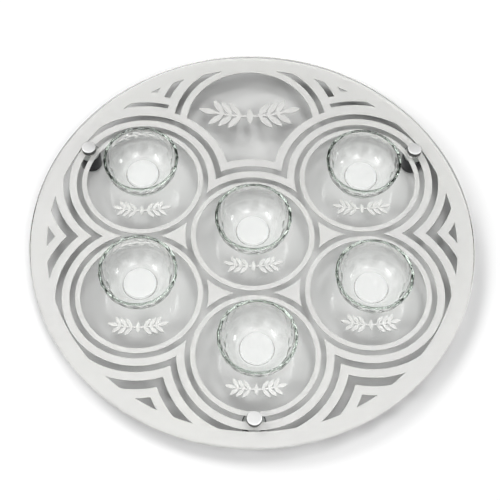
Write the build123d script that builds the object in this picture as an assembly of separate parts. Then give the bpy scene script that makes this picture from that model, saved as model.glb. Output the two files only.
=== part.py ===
"""Seder plate: a round glass plate with a metal inlay on its underside, three bolted legs and six glass cups.

Millimetres, +Z up. The origin is on the table, below the middle of the plate. The front is towards -Y.
"""
from build123d import *
import math
import os

# Places for food: one in the middle and five round it, where the back field takes the sixth turn
first_place_angle = 30.0
place_angle_step = 60.0
places_around = ["upper_right", "back", "upper_left", "lower_left", "front", "lower_right"]

# Bands of the inlay round every place, from the opening outwards
opening_radius = 51.1
ring_width = 4.4
ring_gap = 4.9
ring_spacing = 4.6
loop_width = 6.7
groove_width = 5.6
land_width = 7.6
chevron_width = 7.6
outer_land_width = 7.9
loop_to_rim_gap = 1.1
rim_width = 15.0
inlay_edge_inset = 0.8
inlay_thickness = 0.8

# Field at the back, with its own bands
back_field_setback = 4.6
back_bar_width = 5.8
back_lintel_width = 4.4
back_bar_land = 7.7
back_corner_land = 4.0

# Glass plate
glass_thickness = 5.0
glass_arris = 0.6

# Leaf sprays
leaf_lean = 50.0
leaf_steps = 4
leaf_setback = 3.0
spray_edge_distance = 19.6
spray_leaf_length = 10.0
spray_leaf_width = 3.5
spray_leaf_spacing = 4.9
spray_stem_width = 1.6
spray_stem_bow = 2.5
back_spray_rise = 9.0
back_spray_leaf_length = 18.5
back_spray_leaf_width = 6.2
back_spray_leaf_spacing = 8.4
back_spray_stem_width = 2.6
back_spray_stem_bow = 4.5

# Leg sets
leg_places = {"rear_right": "upper_right", "rear_left": "upper_left", "front": "front"}
leg_inset = 1.0
leg_turn = -0.8
leg_diameter = 20.0
leg_height = 17.0
leg_edge = 0.8
foot_inset = 1.5
foot_thickness = 2.5
foot_recess = 1.0
foot_clearance = 0.1
lower_gasket_inset = 1.0
lower_gasket_thickness = 1.0
upper_gasket_inset = 0.5
upper_gasket_thickness = 0.8
cap_diameter = 13.0
cap_height = 5.0
cap_edge = 0.9
stud_diameter = 6.0
stud_depth_in_leg = 10.0
stud_depth_in_cap = 3.5
stud_end_room = 0.5
thread_clearance = 0.05
sleeve_wall = 1.8
sleeve_clearance = 0.1

# Cups
cup_base_radius = 17.0
cup_rim_radius = 34.0
cup_height = 29.0
cup_rim_wall = 3.0
cup_floor = 4.6
cup_floor_radius = 17.6
cup_outer_bulge = 4.6
cup_inner_bulge = 3.4
cup_base_ring_width = 2.5
cup_base_recess = 0.9
facet_count = 20
facet_rows = 3
facet_depth = 0.7
facet_row_spacing = 5.2
top_facet_drop = 3.2
cup_shift = {
    "centre": (0.0, 0.7),
    "upper_right": (0.5, -0.5),
    "upper_left": (0.5, 3.6),
    "lower_left": (1.0, 7.2),
    "front": (1.0, 2.7),
    "lower_right": (1.9, 1.2),
}

# Radii and levels that follow
ring_radius = opening_radius + ring_width
place_pitch = 2 * ring_radius + ring_spacing
back_field_pitch = place_pitch + back_field_setback
spray_drop = opening_radius - spray_edge_distance
loop_inner_radius = ring_radius + ring_gap
loop_outer_radius = loop_inner_radius + loop_width
groove_radius = loop_outer_radius + groove_width
land_radius = groove_radius + land_width
chevron_radius = land_radius + chevron_width
outer_land_radius = chevron_radius + outer_land_width
field_radius = place_pitch + loop_outer_radius + loop_to_rim_gap
plate_radius = field_radius + rim_width
leg_circle_radius = place_pitch + loop_inner_radius - leg_inset

leg_bottom = foot_thickness - foot_recess
leg_top = leg_bottom + leg_height
inlay_bottom = leg_top + lower_gasket_thickness
glass_bottom = inlay_bottom + inlay_thickness
glass_top = glass_bottom + glass_thickness
cap_bottom = glass_top + upper_gasket_thickness

foot_radius = leg_diameter / 2 - foot_inset
lower_gasket_radius = leg_diameter / 2 - lower_gasket_inset
upper_gasket_radius = cap_diameter / 2 - upper_gasket_inset
cup_base_recess_radius = cup_base_radius - cup_base_ring_width
sleeve_bore_radius = stud_diameter / 2 + sleeve_clearance
sleeve_radius = sleeve_bore_radius + sleeve_wall
leg_hole_radius = sleeve_radius + sleeve_clearance
thread_radius = stud_diameter / 2 + thread_clearance


def polar(radius, angle):
    """Point at a radius and an angle in degrees."""
    return (radius * math.cos(math.radians(angle)), radius * math.sin(math.radians(angle)))


place_angles = {}
places = {"centre": (0.0, 0.0)}
for step, place in enumerate(places_around):
    place_angles[place] = first_place_angle + step * place_angle_step
    places[place] = polar(place_pitch, place_angles[place])
del places["back"]
back_field = polar(back_field_pitch, place_angles["back"])
leg_points = {}
for leg, place in leg_places.items():
    leg_points[leg] = polar(leg_circle_radius, place_angles[place] + leg_turn)


def disc(point, radius):
    """Flat disc about a point."""
    return Pos(*point) * Circle(radius)


def all_discs(radius):
    """Flat union of one disc at every place."""
    return Sketch() + [disc(point, radius) for point in places.values()]


def leg_holes():
    """Round holes for the leg bolts."""
    return Sketch() + [disc(point, leg_hole_radius) for point in leg_points.values()]


def inlay(outline):
    """Sheet of the inlay, cut to an outline and drilled for the leg bolts."""
    return Pos(0, 0, inlay_bottom) * extrude(outline - leg_holes(), amount=inlay_thickness)


def spandrel_triangles():
    """Triangles between the middle place and each two neighbours on its sides and front."""
    around = ["upper_left", "lower_left", "front", "lower_right", "upper_right"]
    triangles = {}
    for first, second in zip(around, around[1:]):
        corners = [places["centre"], places[first], places[second]]
        triangles[f"{first}_to_{second}"] = make_face(Polyline(*corners, close=True))
    return triangles


def back_wedge():
    """Sector behind the two upper places, where the back field's own bands run."""
    reach = 2 * plate_radius
    left = polar(reach, place_angles["upper_left"])
    right = polar(reach, place_angles["upper_right"])
    return make_face(Polyline((0, 0), right, (0, reach), left, close=True))


def rim_outline():
    """Rim plate with the loops, chevrons, corner triangles and the back field cut out."""
    field = disc((0, 0), field_radius)
    wedge = back_wedge()
    chevrons = all_discs(chevron_radius) - all_discs(land_radius) - wedge
    corners = field - all_discs(outer_land_radius) - wedge
    back_opening = disc(back_field, loop_inner_radius) - all_discs(land_radius)
    back_groove = disc(back_field, groove_radius) - disc(back_field, loop_outer_radius)
    back_groove = back_groove - all_discs(land_radius)
    back_bars = disc(back_field, chevron_radius) - disc(back_field, chevron_radius - back_bar_width)
    back_bars = back_bars - all_discs(outer_land_radius)
    lintels = all_discs(chevron_radius) - all_discs(chevron_radius - back_lintel_width)
    lintels = lintels & wedge
    lintels = lintels - disc(back_field, land_radius)
    back_corners = field - all_discs(outer_land_radius + back_corner_land)
    back_corners = back_corners & wedge
    back_corners = back_corners - disc(back_field, chevron_radius + back_bar_land)
    outline = disc((0, 0), plate_radius - inlay_edge_inset)
    for cut in (all_discs(groove_radius), chevrons, corners, back_opening, back_groove,
                back_bars, lintels, back_corners):
        outline = outline - (cut & field)
    return outline


def loop_outline():
    """Closed band that runs round all six places."""
    outline = all_discs(loop_outer_radius) - all_discs(loop_inner_radius)
    for triangle in spandrel_triangles().values():
        outline = outline - triangle
    return outline


def leaf(length, width):
    """Pointed leaf with its foot at the origin, along +X."""
    upper = ThreePointArc((0, 0), (length / 2, width / 2), (length, 0))
    lower = ThreePointArc((length, 0), (length / 2, -width / 2), (0, 0))
    return make_face([upper, lower])


def leaf_spray(leaf_length, leaf_width, leaf_spacing, stem_width, stem_bow):
    """Symmetric spray: a bowed stem with pairs of leaves, an end leaf each side and an upright leaf."""
    half = leaf_spacing * leaf_steps
    bow_radius = (half**2 + stem_bow**2) / (2 * stem_bow)
    stem = ThreePointArc((-half, stem_bow), (0, 0), (half, stem_bow))
    outline = trace(stem, line_width=stem_width)
    outline = outline + Pos(0, -leaf_length / 2) * Rot(0, 0, 90) * leaf(leaf_length, leaf_width)
    for side in (1, -1):
        for step in range(1, leaf_steps + 1):
            x = leaf_spacing * step
            y = bow_radius - math.sqrt(bow_radius**2 - x**2)
            slope = math.degrees(math.asin(x / bow_radius))
            is_end = step == leaf_steps
            setback = leaf_setback if is_end else 0.0
            for lean in [0.0] if is_end else [leaf_lean, -leaf_lean]:
                direction = slope + lean if side == 1 else 180 - slope - lean
                foot = Pos(side * x, y) * Rot(0, 0, direction) * Pos(-setback, 0)
                outline = outline + foot * leaf(leaf_length, leaf_width)
    return outline


def leg_set(point):
    """Pieces of one leg set, from the table up."""
    x, y = point
    foot = Cylinder(foot_radius, foot_thickness, align=(Align.CENTER, Align.CENTER, Align.MIN))
    barrel = Cylinder(leg_diameter / 2, leg_height, align=(Align.CENTER, Align.CENTER, Align.MIN))
    barrel = chamfer(barrel.edges(), leg_edge)
    foot_seat = Cylinder(foot_radius + foot_clearance, foot_recess,
                         align=(Align.CENTER, Align.CENTER, Align.MIN))
    thread = Cylinder(thread_radius, stud_depth_in_leg + stud_end_room,
                      align=(Align.CENTER, Align.CENTER, Align.MAX))
    barrel = barrel - foot_seat - Pos(0, 0, leg_height) * thread
    lower_gasket = extrude(Circle(lower_gasket_radius) - Circle(sleeve_bore_radius), lower_gasket_thickness)
    sleeve = extrude(Circle(sleeve_radius) - Circle(sleeve_bore_radius), inlay_thickness + glass_thickness)
    upper_gasket = extrude(Circle(upper_gasket_radius) - Circle(sleeve_bore_radius), upper_gasket_thickness)
    stud_length = stud_depth_in_leg + cap_bottom - leg_top + stud_depth_in_cap
    stud = Cylinder(stud_diameter / 2, stud_length, align=(Align.CENTER, Align.CENTER, Align.MIN))
    cap = Cylinder(cap_diameter / 2, cap_height, align=(Align.CENTER, Align.CENTER, Align.MIN))
    cap = chamfer(cap.edges().group_by(Axis.Z)[-1], cap_edge)
    cap = cap - Cylinder(thread_radius, stud_depth_in_cap, align=(Align.CENTER, Align.CENTER, Align.MIN))
    return {
        "foot_pad": Pos(x, y, 0) * foot,
        "leg_barrel": Pos(x, y, leg_bottom) * barrel,
        "lower_gasket": Pos(x, y, leg_top) * lower_gasket,
        "glass_sleeve": Pos(x, y, inlay_bottom) * sleeve,
        "upper_gasket": Pos(x, y, glass_top) * upper_gasket,
        "stud": Pos(x, y, leg_top - stud_depth_in_leg) * stud,
        "cap": Pos(x, y, cap_bottom) * cap,
    }


def bowl_curve(height):
    """Radius and slope of the cup's outside at a height, on the arc from its base to its rim."""
    run = cup_rim_radius - cup_base_radius
    chord = math.hypot(run, cup_height)
    arc_radius = (chord**2 / 4 + cup_outer_bulge**2) / (2 * cup_outer_bulge)
    inset = (arc_radius - cup_outer_bulge) / chord
    centre_radius = (cup_base_radius + cup_rim_radius) / 2 - inset * cup_height
    centre_height = cup_height / 2 + inset * run
    reach = math.sqrt(arc_radius**2 - (height - centre_height) ** 2)
    return centre_radius + reach, (centre_height - height) / reach


def facet_cone(height, turn):
    """Many-sided cone whose flats cut the cup's outside to the facets' depth at a height."""
    radius, slope = bowl_curve(height)
    flat = radius - facet_depth
    bottom = RegularPolygon(flat - slope * height, facet_count, major_radius=False)
    top = RegularPolygon(flat + slope * (cup_height - height), facet_count, major_radius=False)
    return Rot(0, 0, turn) * loft([bottom, Pos(0, 0, cup_height) * top])


def cup():
    """Round bowl with a flat base and rows of ground facets, each turned half a facet to the next."""
    base = (cup_base_radius, 0)
    rim = (cup_rim_radius, cup_height)
    lip = (cup_rim_radius - cup_rim_wall, cup_height)
    floor = (cup_floor_radius, cup_floor)
    outside = Line((0, 0), base) + SagittaArc(base, rim, -cup_outer_bulge) + Line(rim, (0, cup_height))
    outside = outside + Line((0, cup_height), (0, 0))
    inside = Line((0, cup_floor), floor) + SagittaArc(floor, lip, -cup_inner_bulge)
    inside = inside + Line(lip, (0, cup_height)) + Line((0, cup_height), (0, cup_floor))
    solid = revolve(Plane.XZ * make_face(outside), Axis.Z)
    half_pitch = 180 / facet_count
    for row in range(facet_rows):
        height = cup_height - top_facet_drop - row * facet_row_spacing
        solid = solid & facet_cone(height, row % 2 * half_pitch)
    solid = solid - revolve(Plane.XZ * make_face(inside), Axis.Z)
    recess = Cylinder(cup_base_recess_radius, cup_base_recess, align=(Align.CENTER, Align.CENTER, Align.MIN))
    return solid - recess


nodes = {}

glass = Cylinder(plate_radius, glass_thickness, align=(Align.CENTER, Align.CENTER, Align.MIN))
glass = chamfer(glass.edges().filter_by(GeomType.CIRCLE), glass_arris)
nodes["glass_plate"] = Pos(0, 0, glass_bottom) * (glass - extrude(leg_holes(), glass_thickness))

nodes["rim_plate"] = inlay(rim_outline())
nodes["loop_band"] = inlay(loop_outline())
for place, point in places.items():
    nodes[f"place_ring_{place}"] = inlay(disc(point, ring_radius) - disc(point, opening_radius))
for between, triangle in spandrel_triangles().items():
    nodes[f"spandrel_{between}"] = inlay(triangle - all_discs(loop_inner_radius))

spray = leaf_spray(spray_leaf_length, spray_leaf_width, spray_leaf_spacing, spray_stem_width, spray_stem_bow)
for place, (x, y) in places.items():
    nodes[f"leaf_spray_{place}"] = inlay(Pos(x, y - spray_drop) * spray)
back_spray = leaf_spray(back_spray_leaf_length, back_spray_leaf_width, back_spray_leaf_spacing,
                        back_spray_stem_width, back_spray_stem_bow)
nodes["leaf_spray_back"] = inlay(Pos(0, back_field_pitch + back_spray_rise) * back_spray)

for leg, point in leg_points.items():
    for piece, solid in leg_set(point).items():
        nodes[f"{piece}_{leg}"] = solid

one_cup = cup()
for place, (x, y) in places.items():
    shift_x, shift_y = cup_shift[place]
    nodes[f"cup_{place}"] = Pos(x + shift_x, y + shift_y, glass_top) * one_cup

os.makedirs("parts", exist_ok=True)
for name, solid in nodes.items():
    export_step(solid, f"parts/{name}.step")
    print(f"{name}: {len(solid.solids())} solid, {solid.volume:.1f} mm3")
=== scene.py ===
"""Looks of a seder plate: drilled glass plate, satin steel inlay, three bolted legs, six cut-glass cups.

Metres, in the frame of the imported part: +Z up, the front towards -Y.
"""
import logging
import math
from dataclasses import dataclass, field
from enum import Enum
from typing import Any

import bmesh
import bpy
from mathutils import Matrix, Vector


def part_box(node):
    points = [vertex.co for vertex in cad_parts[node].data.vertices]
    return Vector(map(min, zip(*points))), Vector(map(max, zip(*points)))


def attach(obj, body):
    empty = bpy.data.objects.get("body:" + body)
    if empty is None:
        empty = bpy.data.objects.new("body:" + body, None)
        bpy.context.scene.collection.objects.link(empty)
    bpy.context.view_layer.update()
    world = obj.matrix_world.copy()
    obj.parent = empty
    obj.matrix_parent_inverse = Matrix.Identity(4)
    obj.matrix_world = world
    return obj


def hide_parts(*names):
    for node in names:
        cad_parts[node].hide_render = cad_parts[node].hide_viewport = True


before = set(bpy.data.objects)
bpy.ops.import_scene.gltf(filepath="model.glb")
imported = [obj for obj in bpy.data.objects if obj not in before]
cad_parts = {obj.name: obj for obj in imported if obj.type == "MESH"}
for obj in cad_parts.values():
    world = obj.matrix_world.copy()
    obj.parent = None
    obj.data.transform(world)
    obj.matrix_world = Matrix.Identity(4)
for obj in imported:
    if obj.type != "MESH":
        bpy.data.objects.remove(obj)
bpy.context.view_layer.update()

Tree = bpy.types.NodeTree
Node = bpy.types.Node
Socket = bpy.types.NodeSocket
Mesh = bpy.types.Mesh

MM = 0.001
FULL_TURN = 2 * math.pi
PLATE_BODY = "plate"
PLACES = ("centre", "upper_right", "upper_left", "lower_left", "front", "lower_right")
LEGS = ("rear_right", "rear_left", "front")
# Range that most values of a noise texture fall in, and the part of it that counts as often handled
NOISE_SPREAD = (0.3, 0.7)
HANDLED_SPREAD = (0.5, 0.8)
# How far a face looks up, from -1 to 1: where the painted shade of upright sides turns into tops, and below
# which a face is an underside
SIDE_SHADE_TO_TOP = (0.2, 0.8)
UNDERSIDE = -0.5
LACQUER_ROUGHNESS = 0.6
# Power by which ground glass loses its dullness faster than its whiteness
GROUND_FALL = 3.0
# Distances within which the points of two strips, or of one turned piece, are joined
STRIP_SEAM = 0.002 * MM
TURNED_SEAM = 0.001 * MM
# Angle above which an edge of a turned piece stays sharp, and steps of each of its rounded edges
TURNED_CREASE = math.radians(25.0)
EDGE_STEPS = 6
log = logging.getLogger("seder_plate")


def linear(hex_colour: str) -> tuple[float, float, float, float]:
    """Turn an sRGB hex colour into linear RGBA.

    Args:
        hex_colour: Colour such as "#E6E5E4".

    Returns:
        Red, green, blue and alpha, each from 0 to 1.
    """
    parts = [int(hex_colour[i:i + 2], 16) / 255 for i in (1, 3, 5)]
    red, green, blue = (c / 12.92 if c <= 0.04045 else ((c + 0.055) / 1.055) ** 2.4 for c in parts)
    return red, green, blue, 1.0


def add_node(tree: Tree, kind: str, inputs: dict[Any, Any] | None = None, **settings: Any) -> Node:
    """Add a node, set its properties and fill its inputs.

    Args:
        tree: Tree that takes the node.
        kind: Type name of the node.
        inputs: Values by input name or index; an output socket is linked, a list of them joined in order.
        settings: Properties of the node, such as operation.

    Returns:
        The new node.
    """
    node = tree.nodes.new(kind)
    for key, value in settings.items():
        setattr(node, key, value)
    for key, value in (inputs or {}).items():
        for one in value if isinstance(value, list) else [value]:
            if isinstance(one, Socket):
                tree.links.new(one, node.inputs[key])
            else:
                node.inputs[key].default_value = one
    return node


def calc(tree: Tree, operation: str, *values: Any) -> Socket:
    """Add a Math node.

    Args:
        tree: Tree that takes the node.
        operation: What the node does, such as "MULTIPLY".
        values: Numbers or sockets that it works on.

    Returns:
        Socket of the result.
    """
    return add_node(tree, "ShaderNodeMath", dict(enumerate(values)), operation=operation).outputs[0]


def remap(tree: Tree, value: Socket, source: tuple[float, float], target: tuple[float, float],
          smooth: bool = False) -> Socket:
    """Carry a value from one range over to another.

    Args:
        tree: Tree that takes the node.
        value: Socket of the value.
        source: Range that the value comes from.
        target: Range that it goes to.
        smooth: Whether it leaves and reaches the ends gently.

    Returns:
        Socket of the result.
    """
    return add_node(tree, "ShaderNodeMapRange", dict(enumerate((value, *source, *target))),
                    interpolation_type="SMOOTHSTEP" if smooth else "LINEAR").outputs[0]


def blend(tree: Tree, share: Socket, first: Any, second: Any) -> Socket:
    """Mix two colours: a share of 0 gives the first and 1 the second."""
    return add_node(tree, "ShaderNodeMix", {0: share, 6: first, 7: second}, data_type="RGBA").outputs[2]


def vector(tree: Tree, x: Any = 0.0, y: Any = 0.0, z: Any = 0.0) -> Socket:
    """Join three numbers or sockets to a vector."""
    return add_node(tree, "ShaderNodeCombineXYZ", {0: x, 1: y, 2: z}).outputs[0]


def noise(tree: Tree, place: Socket, width: float, detail: float = 2.0) -> Socket:
    """Add a noise texture.

    Args:
        tree: Tree that takes the node.
        place: Socket of the point on the object.
        width: Width of its patches, in millimetres.
        detail: How many finer layers it has.

    Returns:
        Socket of the noise, from 0 to 1.
    """
    return add_node(tree, "ShaderNodeTexNoise",
                    {"Vector": place, "Scale": 1 / (width * MM), "Detail": detail}).outputs[0]


def start_material(name: str) -> tuple[bpy.types.Material, Tree]:
    """Make an empty node material with its output.

    Args:
        name: Name of the finish.

    Returns:
        The material and its node tree.
    """
    material = bpy.data.materials.new(name)
    material.use_nodes = True
    tree = material.node_tree
    tree.nodes.clear()
    add_node(tree, "ShaderNodeOutputMaterial", name="Output")
    return material, tree


class Marks(Enum):
    """How the tool marks run on a metal surface."""

    BRUSHED = "brushed in straight lines"
    TURNED = "turned on a lathe"


@dataclass(frozen=True)
class MetalFinish:
    """Bare metal with the fine lines that its last tool left.

    Attributes:
        name: Name of the material.
        pale: Lighter sRGB colour.
        deep: Darker sRGB colour of the same metal.
        roughness: Lowest and highest roughness.
        marks: How the tool marks run.
        mark_spacing: Distance between marks, in millimetres.
        mark_length: Length of a straight mark, in millimetres.
        mark_depth: Depth of the marks, in millimetres.
        cloud: Width of the soft patches of colour, in millimetres.
        back: sRGB colour of the lacquer on faces that look down, or nothing where the metal is bare.
        side: sRGB colour of painted shade on upright faces, darker than the tops, or nothing where all
            faces are alike.
    """

    name: str
    pale: str
    deep: str
    roughness: tuple[float, float]
    marks: Marks
    mark_spacing: float
    mark_length: float
    mark_depth: float
    cloud: float
    back: str = ""
    side: str = ""

    def make(self) -> bpy.types.Material:
        """Build the material."""
        material, tree = start_material(self.name)
        place = add_node(tree, "ShaderNodeTexCoord").outputs["Object"]
        lines = self.tool_lines(tree, place)
        colour = blend(tree, noise(tree, place, self.cloud), linear(self.pale), linear(self.deep))
        # Painted shade: upright faces blend towards the darker side colour, tops keep the metal's own
        # colour
        if self.side:
            level = remap(tree, self.upward(tree), SIDE_SHADE_TO_TOP, (0.0, 1.0))
            colour = blend(tree, level, linear(self.side), colour)
        rough = remap(tree, lines, NOISE_SPREAD, self.roughness)
        bump = add_node(tree, "ShaderNodeBump", {"Height": lines, "Distance": self.mark_depth * MM})
        shader = add_node(tree, "ShaderNodeBsdfPrincipled", {
            "Base Color": colour, "Metallic": 1.0, "Roughness": rough, "Normal": bump.outputs[0]})
        if self.back:
            self.lacquer(tree, shader, colour, rough)
        tree.links.new(shader.outputs[0], tree.nodes["Output"].inputs["Surface"])
        return material

    def tool_lines(self, tree: Tree, place: Socket) -> Socket:
        """Add the tool marks, as a noise that is drawn out along them.

        Args:
            tree: Material node tree.
            place: Socket of the point on the object.

        Returns:
            Socket of the marks, from 0 to 1.
        """
        if self.marks is Marks.BRUSHED:
            lengths = (self.mark_length, self.mark_spacing, self.mark_spacing)
            scale = tuple(1 / (length * MM) for length in lengths)
            along = add_node(tree, "ShaderNodeMapping", {"Vector": place, "Scale": scale}).outputs[0]
            return add_node(tree, "ShaderNodeTexNoise",
                            {"Vector": along, "Scale": 1.0, "Detail": 3.0}).outputs[0]
        turned = add_node(tree, "ShaderNodeAttribute", attribute_name="turning").outputs["Fac"]
        rings = calc(tree, "DIVIDE", turned, self.mark_spacing * MM)
        return add_node(tree, "ShaderNodeTexNoise", {"W": rings, "Scale": 1.0, "Detail": 2.0},
                        noise_dimensions="1D").outputs[0]

    @staticmethod
    def upward(tree: Tree) -> Socket:
        """How far a face looks up, from -1 to 1."""
        facing = add_node(tree, "ShaderNodeTexCoord").outputs["Normal"]
        return add_node(tree, "ShaderNodeSeparateXYZ", {0: facing}).outputs[2]

    def lacquer(self, tree: Tree, shader: Node, colour: Socket, rough: Socket) -> None:
        """Coat the faces that look down with a dull lacquer.

        Args:
            tree: Material node tree.
            shader: Shader of the bare metal.
            colour: Colour of the bare metal.
            rough: Roughness of the bare metal.
        """
        bare = calc(tree, "GREATER_THAN", self.upward(tree), UNDERSIDE)
        dull = add_node(tree, "ShaderNodeMix", {0: bare, 2: LACQUER_ROUGHNESS, 3: rough}, data_type="FLOAT")
        tree.links.new(blend(tree, bare, linear(self.back), colour), shader.inputs["Base Color"])
        tree.links.new(dull.outputs[0], shader.inputs["Roughness"])
        tree.links.new(bare, shader.inputs["Metallic"])


@dataclass(frozen=True)
class GlassFinish:
    """Clear glass with the faint unevenness of its making and the green of its iron.

    Attributes:
        name: Name of the material.
        tint: sRGB colour that each crossing of the surface leaves.
        body: sRGB colour that the light keeps as it runs through the glass.
        density: How fast the body colour builds up, per metre.
        ior: Index of refraction.
        smudge: Roughness of the most handled patches.
        ripple: Width of the ripples, in millimetres.
        ripple_depth: Depth of the ripples, in millimetres.
        shade: sRGB colour that light for the things below keeps at each face; it passes straight through.
        satin: Share of the light that ground glass scatters where the mesh's "ground" attribute is 1.
    """

    name: str
    tint: str
    body: str
    density: float
    ior: float
    smudge: float
    ripple: float
    ripple_depth: float
    shade: str = ""
    satin: float = 0.0

    def make(self) -> bpy.types.Material:
        """Build the material."""
        material, tree = start_material(self.name)
        place = add_node(tree, "ShaderNodeTexCoord").outputs["Object"]
        ripples = noise(tree, place, self.ripple, 1.0)
        rough = remap(tree, ripples, HANDLED_SPREAD, (0.0, self.smudge))
        bump = add_node(tree, "ShaderNodeBump", {"Height": ripples, "Distance": self.ripple_depth * MM})
        shader = add_node(tree, "ShaderNodeBsdfPrincipled", {
            "Base Color": linear(self.tint), "Roughness": rough, "IOR": self.ior,
            "Transmission Weight": 1.0, "Normal": bump.outputs[0]})
        if self.satin:
            ground = add_node(tree, "ShaderNodeAttribute", attribute_name="ground").outputs["Fac"]
            clear = remap(tree, ground, (0.0, 1.0), (1.0, 1.0 - self.satin))
            dull = calc(tree, "MAXIMUM", rough, calc(tree, "POWER", ground, GROUND_FALL))
            tree.links.new(clear, shader.inputs["Transmission Weight"])
            tree.links.new(dull, shader.inputs["Roughness"])
        body = add_node(tree, "ShaderNodeVolumeAbsorption",
                        {"Color": linear(self.body), "Density": self.density})
        surface = shader.outputs[0]
        if self.shade:
            path = add_node(tree, "ShaderNodeLightPath").outputs
            lighting = calc(tree, "MAXIMUM", path["Is Shadow Ray"], path["Is Diffuse Ray"])
            straight = add_node(tree, "ShaderNodeBsdfTransparent", {"Color": linear(self.shade)})
            surface = add_node(tree, "ShaderNodeMixShader",
                               {0: lighting, 1: surface, 2: straight.outputs[0]}).outputs[0]
        tree.links.new(surface, tree.nodes["Output"].inputs["Surface"])
        tree.links.new(body.outputs[0], tree.nodes["Output"].inputs["Volume"])
        return material


@dataclass(frozen=True)
class SoftFinish:
    """Rubber, nylon or soft plastic with a moulded grain.

    Attributes:
        name: Name of the material.
        pale: Lighter sRGB colour.
        deep: Darker sRGB colour.
        roughness: Lowest and highest roughness.
        clearness: Share of the light that passes through.
        grain: Width of the grain, in millimetres.
        grain_depth: Depth of the grain, in millimetres.
    """

    name: str
    pale: str
    deep: str
    roughness: tuple[float, float]
    clearness: float
    grain: float
    grain_depth: float

    def make(self) -> bpy.types.Material:
        """Build the material."""
        material, tree = start_material(self.name)
        place = add_node(tree, "ShaderNodeTexCoord").outputs["Object"]
        grain = noise(tree, place, self.grain, 4.0)
        colour = blend(tree, grain, linear(self.pale), linear(self.deep))
        rough = remap(tree, grain, NOISE_SPREAD, self.roughness)
        bump = add_node(tree, "ShaderNodeBump", {"Height": grain, "Distance": self.grain_depth * MM})
        shader = add_node(tree, "ShaderNodeBsdfPrincipled", {
            "Base Color": colour, "Roughness": rough,
            "Transmission Weight": self.clearness, "Normal": bump.outputs[0]})
        tree.links.new(shader.outputs[0], tree.nodes["Output"].inputs["Surface"])
        return material


# Float glass, polished, with ground arrises: clear and flat, and olive green where the light runs along it
PLATE_GLASS = GlassFinish(
    "float_glass", tint="#F8F8F8", body="#BCC4B0", density=11.0, ior=1.52, smudge=0.01, ripple=60.0,
    ripple_depth=0.004, shade="#F2F2F2")
# Pressed soda-lime glass, its facets ground and fire polished: lively glints, green in the long light
# paths, and a white satin disc where the floor of the bowl is ground
CUP_GLASS = GlassFinish(
    "pressed_cut_glass", tint="#FFFFFF", body="#6FC487", density=6.0, ior=1.52, smudge=0.0, ripple=7.0,
    ripple_depth=0.06, shade="#FDFDFD", satin=0.42)
# Stainless steel sheet, laser cut and ground satin, with a dark lacquer on its back: an even pale sheen
# with faint lines from the belt, and a dull dark underside
INLAY_STEEL = MetalFinish(
    "satin_steel_sheet", pale="#C0C0BE", deep="#BDBCBD", roughness=(0.52, 0.60), marks=Marks.BRUSHED,
    mark_spacing=0.7, mark_length=60.0, mark_depth=0.0006, cloud=90.0, back="#2E2E2D")
# Stainless steel bar, turned on a lathe and left satin: rings of fine lines round the axis, and painted
# shade that darkens the upright sides
CAP_STEEL = MetalFinish(
    "turned_satin_steel", pale="#DADAD9", deep="#D0D0D0", roughness=(0.40, 0.50), marks=Marks.TURNED,
    mark_spacing=0.35, mark_length=0.35, mark_depth=0.002, cloud=6.0, side="#5C5C5C")
# Stainless steel bar, turned and buffed: a near mirror that shows the dark underside of the plate, its
# colour painted near black as shade for the shadow under the plate
SHADED_LEG_STEEL = MetalFinish(
    "buffed_steel_bar_painted_shade", pale="#3E3E40", deep="#303134", roughness=(0.06, 0.16), marks=Marks.TURNED,
    mark_spacing=0.5, mark_length=0.5, mark_depth=0.003, cloud=8.0)
# Mild steel rod with a rolled thread and a bright zinc coat: bluish grey and a little cloudy
STUD_STEEL = MetalFinish(
    "zinc_plated_steel", pale="#BFC3C8", deep="#A4A8AE", roughness=(0.28, 0.45), marks=Marks.TURNED,
    mark_spacing=0.3, mark_length=0.3, mark_depth=0.002, cloud=2.0)
# Clear soft vinyl washer, punched from sheet: milky and slightly tacky
GASKET_VINYL = SoftFinish(
    "clear_vinyl", pale="#E4E8E6", deep="#D2D8D5", roughness=(0.25, 0.4), clearness=0.55, grain=1.5,
    grain_depth=0.01)
# Nylon tube, extruded and cut: natural off-white with a dull skin
SLEEVE_NYLON = SoftFinish(
    "natural_nylon", pale="#ECE9E0", deep="#DEDACD", roughness=(0.4, 0.55), clearness=0.1, grain=0.8,
    grain_depth=0.01)
# Black rubber, moulded: matt, with a fine pebbled skin
FOOT_RUBBER = SoftFinish(
    "black_rubber", pale="#1D1D1D", deep="#111111", roughness=(0.6, 0.8), clearness=0.0, grain=0.6,
    grain_depth=0.03)


def make_tree(name: str, sizes: dict[str, Any]) -> tuple[Tree, bpy.types.NodeOutputs]:
    """Start a Geometry Nodes tree with named inputs and a geometry output.

    Args:
        name: Name of the tree.
        sizes: First value of each input; its type sets the socket's type.

    Returns:
        The tree and the sockets of its inputs.
    """
    tree = bpy.data.node_groups.new(name, "GeometryNodeTree")
    tree.interface.new_socket("Geometry", in_out="OUTPUT", socket_type="NodeSocketGeometry")
    kinds = {float: "NodeSocketFloat", int: "NodeSocketInt"}
    for key, value in sizes.items():
        socket = tree.interface.new_socket(key, in_out="INPUT",
                                           socket_type=kinds.get(type(value), "NodeSocketMaterial"))
        if type(value) in kinds:
            socket.default_value = value
    return tree, add_node(tree, "NodeGroupInput").outputs


def end_tree(tree: Tree, geometry: Socket) -> Tree:
    """Lead a geometry to the tree's output and return the tree."""
    add_node(tree, "NodeGroupOutput", {"Geometry": geometry})
    return tree


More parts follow.
